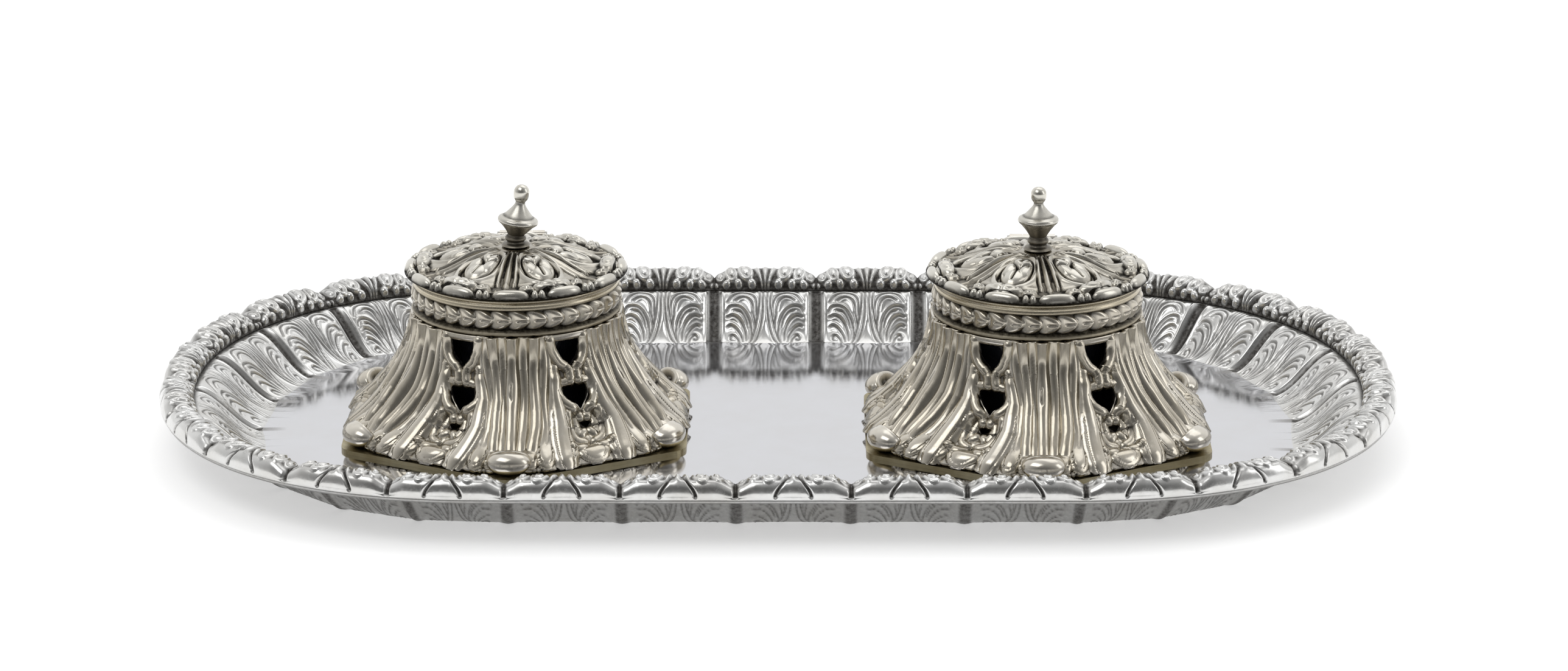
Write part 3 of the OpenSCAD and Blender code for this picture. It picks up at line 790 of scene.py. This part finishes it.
def collar(name):
    """The turned collar, with the recess at its back for the lid's strap."""
    a = np.linspace(0, 2 * math.pi, COLLAR_SEGMENTS, endpoint=False)[:, None]
    profile = np.array(COLLAR_PROFILE)
    r, z = profile[:, 0][None, :] + 0 * a, profile[:, 1][None, :] + SHELL_TOP + 0 * a
    x, y = r * np.cos(a), r * np.sin(a)
    cut = (np.abs(x) < RECESS_HALF) & (y > RECESS_FROM)
    z = np.where(cut, np.minimum(z, COLLAR_TOP - RECESS_DEPTH), z)
    darkening = np.interp(z - SHELL_TOP, [0, 0.6, 1.3, 2.0, 6.8, 7.1, 7.8, 8.6, 9.5, 9.9],
                     [0.8, 0.15, 0.9, 1.0, 1.0, 0.4, 0.1, 0.15, 0.05, 0.5])
    faces = grid_faces(COLLAR_SEGMENTS, len(profile), True, True)
    return mesh_object(name, np.stack([x, y, z], axis=2), faces, darkening, 0.85 * np.ones_like(darkening))


def laurel(name):
    """Overlapping scale leaves that point to the right at the front."""
    per_leaf, rows = 16, 26
    i = np.arange(LAUREL_LEAVES * per_leaf)[:, None]
    part = (i % per_leaf) / per_leaf
    v = np.linspace(-1, 1, rows)[None, :]
    pitch = 2 * math.pi / LAUREL_LEAVES
    a = (i / per_leaf - 0.22 * v ** 2) * pitch
    height = np.zeros(np.broadcast(part, v).shape)
    vein = np.zeros_like(height)
    for t in (part - 1, part, part + 1):
        dome = np.sqrt(np.clip(1 - ((t - 0.42) / 0.66) ** 2 - 0.93 * v ** 2, 0, 1)) ** 0.8
        leaf = dome * (0.42 + 0.58 * np.clip(t, -0.2, 1.1))
        own = leaf > height
        slit = np.exp(-(v / 0.075) ** 2) * smooth(t, 0.3, 0.45) * (1 - smooth(t, 0.8, 0.95))
        height = np.where(own, leaf, height)
        vein = np.where(own, slit, vein)
    height = height - 0.2 * vein
    r = GROOVE_R + 0.05 + 2.2 * height
    half = (BAND_BOTTOM - GROOVE_BOTTOM) / 2
    z = (GROOVE_BOTTOM + BAND_BOTTOM) / 2 + v * half + 0 * a
    front = np.stack([r * np.cos(a), r * np.sin(a), z], axis=2)
    a_back = a[:, ::-5]
    back_r = GROOVE_R + 0.03
    back = np.stack([back_r * np.cos(a_back), back_r * np.sin(a_back), z[:, ::-5]], axis=2)
    points = np.concatenate([front, back], axis=1)
    darkening = np.clip(1.15 - 2.2 * height + 0.8 * vein, 0.02, 1)
    darkening = np.concatenate([darkening, np.ones(back.shape[:2])], axis=1)
    faces = grid_faces(len(i), points.shape[1], True, True)
    return mesh_object(name, points, faces, darkening, 0.55 * (1 - darkening))


LID_SEAT = COLLAR_TOP + 0.3
DOME_TOP = COLLAR_TOP + 7.3
PETALS = 6
HALF_PETAL = 64
# Radii of the hole for the finial's stud, of the dome's edge, of the beads and of the lid.
STUD_R = 2.2
DOME_EDGE = 26.3
BEAD_R = 28.1
LID_R = 29.55
BEADS = 12
# Outline of the dome between the reliefs, as radii and heights above the seat.
DOME_R = [2.2, 3.8, 7.5, 12.0, 15.0, 18.0, 20.5, 23.0, 26.3]
DOME_HEIGHT = [6.75, 6.7, 6.0, 5.0, 4.2, 3.1, 2.3, 1.9, 1.7]


def petal_relief(r, angle):
    """Relief of half a lid petal; the angle runs from its middle, in radians."""
    q = r * np.sin(angle)
    e = r * (math.pi / PETALS - angle)
    narrow = e / (0.3 + 0.7 * np.clip(r / 16, 0, 1.15))
    relief = 0.7 * bump(narrow, 0.75) - 0.9 * bump(narrow - 1.15, 0.5) + 0.55 * bump(narrow - 1.95, 0.6)
    relief -= 0.5 * bump(narrow - 2.65, 0.35) * smooth(r, 8, 12)
    relief *= smooth(r, 4.4, 6.5)
    relief += 0.9 * (1 - (angle * PETALS / math.pi) ** 2) * smooth(r, 6, 12) - 0.5 * smooth(r, 21.5, 23.5)
    egg = np.hypot(q / (4.3 * np.clip(r / 16, 0.25, 1.15) ** 0.7), (r - 14.3) / 7.0)
    crescent = 0.08 + 0.13 * smooth(r, 15.5, 21)
    relief += (0.5 * bump(egg - 1.27, 0.2) - 1.25 * bump(egg - 0.99, crescent)) * smooth(r, 5, 7)
    body = smooth(0.9 - egg, 0, 0.14)
    lobes = np.zeros_like(r)
    for cq, cr, sq, sr in ((0.0, 17.3, 2.6, 2.6), (2.5, 14.6, 1.9, 2.6), (1.4, 10.8, 1.7, 2.6)):
        away = np.hypot((q - cq) / sq, (r - cr) / sr)
        lobes = np.maximum(lobes, np.sqrt(np.clip(1 - away ** 2, 0, 1)))
    relief += body * (0.85 * lobes - 0.15)
    vein = np.exp(-(q / 0.3) ** 2) * smooth(r, 13.5, 14.3) * (1 - smooth(r, 18.6, 19.4))
    branch = to_curve(q, r, [(0.0, 14.4), (0.9, 12.8), (2.4, 11.8)])[0]
    relief -= body * 0.95 * np.maximum(vein, np.exp(-(branch / 0.38) ** 2))
    relief -= 1.6 * bump(np.hypot((e - 2.4) / 1.7, (r - 23.4) / 2.4), 1.0)
    away = np.hypot(q / 5.6, (r - 24.6) / 2.5)
    end = np.sqrt(np.clip(1 - away ** 3, 0, 1)) - 0.16 * bump(away - 0.62, 0.2)
    end -= 0.14 * np.exp(-(q / 0.4) ** 2)
    side = np.hypot((q - 7.0) / 2.0, (r - 24.9) / 1.9)
    curl = np.sqrt(np.clip(1 - side ** 2, 0, 1)) - 0.35 * bump(side - 0.45, 0.25)
    ends = np.maximum(2.6 * end, 1.7 * curl)
    return np.maximum(relief * (1 - smooth(r, 25.8, 26.3)), ends - 0.3)


def bead_height(angle, r):
    """Long oval beads with pairs of small ones between them, 12 times round the lid."""
    pitch = 2 * math.pi / BEADS
    off = np.abs((angle + pitch / 2) % pitch - pitch / 2) * BEAD_R
    across = (r - 28.0) / 1.55
    long_bead = np.sqrt(np.clip(1 - across ** 2 - np.abs(off / 4.9) ** 3, 0, 1))
    gap = off - BEAD_R * pitch / 2
    small = np.sqrt(np.clip(1 - (across * 1.2) ** 2 - ((gap + 0.95) / 0.92) ** 2, 0, 1))
    return np.maximum(long_bead, 0.85 * small)


def lid(name, turn, bead_turn):
    """The domed lid with six medallion petals, curled at their ends, and a beaded edge."""
    inner = np.linspace(STUD_R, DOME_EDGE - 0.05, 96)
    outer = np.linspace(DOME_EDGE, LID_R, 26)
    count = 2 * PETALS * HALF_PETAL
    r = np.concatenate([inner, outer])
    step = math.pi / PETALS / HALF_PETAL
    half_angle = np.arange(HALF_PETAL + 1)[:, None] * step
    petal = petal_relief(r[None, :] + 0 * half_angle, half_angle + 0 * r[None, :])
    order = np.abs(np.arange(2 * HALF_PETAL) - HALF_PETAL)
    petal = np.tile(petal[order], (PETALS, 1))
    petal_angle = (np.arange(count) - HALF_PETAL)[:, None] * step
    a = petal_angle - math.pi / 2 + math.pi / PETALS + turn
    outline = spline(np.c_[DOME_R, DOME_HEIGHT], 6)
    dome = LID_SEAT + np.interp(r, outline[:, 0], outline[:, 1])[None, :] + petal
    bead = bead_height(a + math.pi / 2 - bead_turn, outer[None, :] + 0 * a)
    floor = np.interp(outer, [DOME_EDGE, 26.8, 29.0, LID_R], [1.3, 0.9, 0.7, 0.5])[None, :] + LID_SEAT
    beads = floor + 2.0 * bead
    count_in = len(inner)
    overhang = np.where(petal[:, count_in:] > 0.2, dome[:, count_in:] - 0.4, 0)
    top = np.concatenate([dome[:, :count_in], np.maximum(beads, overhang)], axis=1)
    under_r = np.array([29.4, 29.0, 28.2, 27.6, 23.0, 22.4, 17.0, 11.0, 4.2, STUD_R])
    under_z = LID_SEAT + np.array([0.42, 0.36, 0.3, 0.0, 0.0, 1.6, 3.1, 4.2, 5.4, 5.5])
    height = np.concatenate([top, np.tile(under_z, (count, 1))], axis=1)
    rr = np.concatenate([r, under_r])[None, :]
    low = hollows(top, 3, True) * 1.5 + hollows(top, 9, True) * 0.8
    dark = np.concatenate([1.6 * low[:, :count_in] + 0.16, 1.1 - 1.9 * bead], axis=1)
    # The underside is darkened with painted shade, a fixed amount; the top's darkening is oxide in hollows
    # and between the beads.
    darkening = np.clip(np.concatenate([dark, np.full((count, len(under_r)), 0.6)], axis=1), 0, 1)
    points = np.stack([rr * np.cos(a), rr * np.sin(a), height], axis=2)
    faces = grid_faces(count, points.shape[1], True, True)
    worn = np.clip(0.85 - 0.5 * petal, 0.15, 0.85) * np.where(r < DOME_EDGE, 1, 0.1)[None, :]
    warm = np.concatenate([worn, np.ones((count, len(under_r)))], axis=1)
    return mesh_object(name, points, faces, darkening, warm)


# Finial above the dome's top, as (radius, height).
FINIAL = [(0.6, -1.0), (3.55, 0.0), (3.65, 0.35), (3.3, 0.7), (2.5, 1.0), (2.3, 1.5), (2.75, 2.1), (2.8, 2.6),
          (2.35, 3.2), (2.3, 3.7), (3.3, 5.3), (4.5, 6.8), (5.2, 7.5), (5.4, 8.1), (5.1, 8.7), (4.3, 9.05),
          (3.9, 9.3), (2.7, 10.5), (1.75, 11.6), (1.3, 12.4), (1.4, 12.9), (1.9, 13.6), (2.1, 14.8),
          (1.95, 15.8), (1.3, 16.65), (0.4, 16.98), (0.02, 17.0)]
# The left finial sits lower in its seat: its heights against the right one's.
RIGHT_HEIGHTS = [-1, 0, 8.1, 12.5, 17]
LEFT_HEIGHTS = [-1, 0, 6.8, 11.8, 16.7]
# Height about which the left finial is bent.
BEND_AT = 1.8


def finial(name, lean):
    """A turned finial; the left one is bent from its neck upwards."""
    profile = spline(FINIAL, 5)
    a = np.linspace(0, 2 * math.pi, 96, endpoint=False)[:, None]
    r, h = profile[:, 0][None, :], profile[:, 1][None, :] + 0 * a
    if lean:
        h = np.interp(h, RIGHT_HEIGHTS, LEFT_HEIGHTS)
    x, y = r * np.cos(a), r * np.sin(a)
    bend = math.radians(lean) * smooth(h, 0.6, 4.0)
    above = h - BEND_AT
    x, h = x * np.cos(bend) + above * np.sin(bend), BEND_AT + above * np.cos(bend) - x * np.sin(bend)
    darkening = np.interp(profile[:, 1], [0, 0.8, 1.5, 2.3, 3.2, 4, 7, 9.0, 9.2, 9.8, 12.2, 12.6, 13.2],
                     [0.2, 0.5, 0.8, 0.3, 0.8, 0.4, 0.15, 0.1, 0.7, 0.1, 0.2, 0.5, 0.0])[None, :] + 0 * a
    warm = np.interp(profile[:, 1], [0, 4, 6.5, 7.5], [0.9, 1.0, 0.8, 0.0])[None, :] + 0 * a
    points = np.stack([x, y, h + DOME_TOP], axis=2)
    return mesh_object(name, points, grid_faces(96, len(profile), True, False)[:, ::-1], darkening, warm)


def well(side, lid_turn, bead_turn, lean, shell_data):
    """Places one inkwell's pieces and gives its plain nodes their materials."""
    points, faces, darkening, warm = shell_data
    shell = mesh_object(side + "_shell_dressed", points, faces, darkening, warm)
    wall = shell.modifiers.new("wall", "SOLIDIFY")
    wall.thickness = SHELL_WALL * MM
    wall.offset = -1
    dress(shell, WELL_SILVER, side + "_well", "well_silver", side + "_shell")
    foot = merged([pearl(math.radians(30 + 60 * k)) for k in range(6)])
    pearls = dress(mesh_object(side + "_pearls", *foot), WELL_SILVER, side + "_well", "well_silver")
    ring = collar(side + "_collar_dressed")
    dress(ring, COLLAR_SILVER, side + "_well", "well_silver", side + "_collar")
    leaves = laurel(side + "_laurel")
    dress(leaves, WELL_SILVER, side + "_well", "well_silver", side + "_laurel_band")
    cover = lid(side + "_lid_dressed", lid_turn, bead_turn)
    dress(cover, LID_SILVER, side + "_cover", "well_silver", side + "_lid")
    knob = finial(side + "_knob", lean)
    dress(knob, LID_SILVER, side + "_cover", "well_silver", side + "_finial")
    for obj in (shell, pearls, ring, leaves, cover, knob):
        obj.location.xy = WELL_AT[side] * MM
    dress_node(side + "_base_plate", PLATE_SILVER)
    dress_node(side + "_ink_pot", GLASS)
    for part in ("hinge_knuckles", "lid_bezel", "lid_knuckle"):
        dress_node(side + "_" + part, WELL_SILVER)
    for part in ("hinge_pin", "finial_nut"):
        dress_node(side + "_" + part, STEEL)


shell_data = shell_mesh()
well("left", math.radians(-4), 0.0, 8.0, shell_data)
well("right", math.radians(6), math.radians(8), 0.0, shell_data)


# Stage, lights and camera.

# Glow of the stage floor, and how dark the room behind the camera is in the metal.
FLOOR_GLOW = 0.44
ROOM_DARK = 0.15


def stage():
    """A pale floor that keeps the object's soft shadow."""
    material = bpy.data.materials.new("stage_white")
    material.use_nodes = True
    tree = material.node_tree
    tree.nodes.clear()
    out = tree.nodes.new("ShaderNodeOutputMaterial")
    matte = tree.nodes.new("ShaderNodeBsdfDiffuse")
    matte.inputs["Color"].default_value = (0.86, 0.86, 0.86, 1)
    glow = tree.nodes.new("ShaderNodeEmission")
    glow.inputs["Color"].default_value = (1, 1, 1, 1)
    rays = tree.nodes.new("ShaderNodeLightPath")
    seen = math_node(tree, "ADD", rays.outputs["Is Camera Ray"], rays.outputs["Is Glossy Ray"])
    seen = math_node(tree, "ADD", seen, rays.outputs["Is Transmission Ray"])
    tree.links.new(math_node(tree, "MULTIPLY", seen, FLOOR_GLOW), glow.inputs["Strength"])
    both = tree.nodes.new("ShaderNodeAddShader")
    tree.links.new(matte.outputs[0], both.inputs[0])
    tree.links.new(glow.outputs[0], both.inputs[1])
    tree.links.new(both.outputs[0], out.inputs[0])
    half = 6.0
    corners = [(-half, -half, 0), (half, -half, 0), (half, half, 0), (-half, half, 0)]
    mesh = bpy.data.meshes.new("stage_floor")
    mesh.from_pydata(corners, [], [(0, 1, 2, 3)])
    mesh.materials.append(material)
    floor = bpy.data.objects.new("stage_floor", mesh)
    floor.location.z = -0.0002
    bpy.context.scene.collection.objects.link(floor)


def lamp(name, place, target, size, power, colour=(1, 1, 1)):
    data = bpy.data.lights.new(name, "AREA")
    data.shape = "RECTANGLE"
    data.size, data.size_y = size
    data.energy = power
    data.color = colour
    obj = bpy.data.objects.new(name, data)
    obj.location = place
    obj.rotation_euler = (Vector(target) - Vector(place)).to_track_quat("-Z", "Y").to_euler()
    bpy.context.scene.collection.objects.link(obj)


def world():
    """White for the camera; seen in metal it darkens towards the room behind the camera."""
    data = bpy.data.worlds.new("studio")
    bpy.context.scene.world = data
    data.use_nodes = True
    tree = data.node_tree
    back = tree.nodes["Background"]
    place = tree.nodes.new("ShaderNodeTexCoord")
    split = tree.nodes.new("ShaderNodeSeparateXYZ")
    tree.links.new(place.outputs["Generated"], split.inputs[0])
    lit = ramp(tree, split.outputs["Y"], -0.9, 0.6, ROOM_DARK, 1.0)
    rays = tree.nodes.new("ShaderNodeLightPath")
    strength = tree.nodes.new("ShaderNodeMix")
    tree.links.new(rays.outputs["Is Camera Ray"], strength.inputs[0])
    tree.links.new(lit, strength.inputs[2])
    strength.inputs[3].default_value = 1.0
    tree.links.new(strength.outputs[0], back.inputs["Strength"])
    back.inputs["Color"].default_value = (1, 1, 1, 1)


def camera():
    """The photograph's view: a long lens from the front, 17 degrees above the table."""
    data = bpy.data.cameras.new("view")
    data.sensor_width = 36
    data.lens = 115
    data.clip_end = 50
    obj = bpy.data.objects.new("view", data)
    obj.location = (0.00438, -1.27106, 0.41803)
    tilt_down, turn_right = math.radians(17.14), math.radians(-0.13)
    obj.rotation_euler = (math.pi / 2 - tilt_down, 0, -turn_right)
    bpy.context.scene.collection.objects.link(obj)
    bpy.context.scene.camera = obj


stage()
world()
lamp("key", (-0.5, -0.5, 1.1), (0, 0, 0), (0.9, 0.6), 3.0)
lamp("top", (0.3, 0.5, 1.2), (0, 0, 0), (1.2, 0.8), 2.1)
lamp("side", (1.1, -0.2, 0.5), (0, 0, 0.02), (0.4, 0.8), 1.4)
camera()
bpy.context.scene.view_settings.view_transform = "Standard"
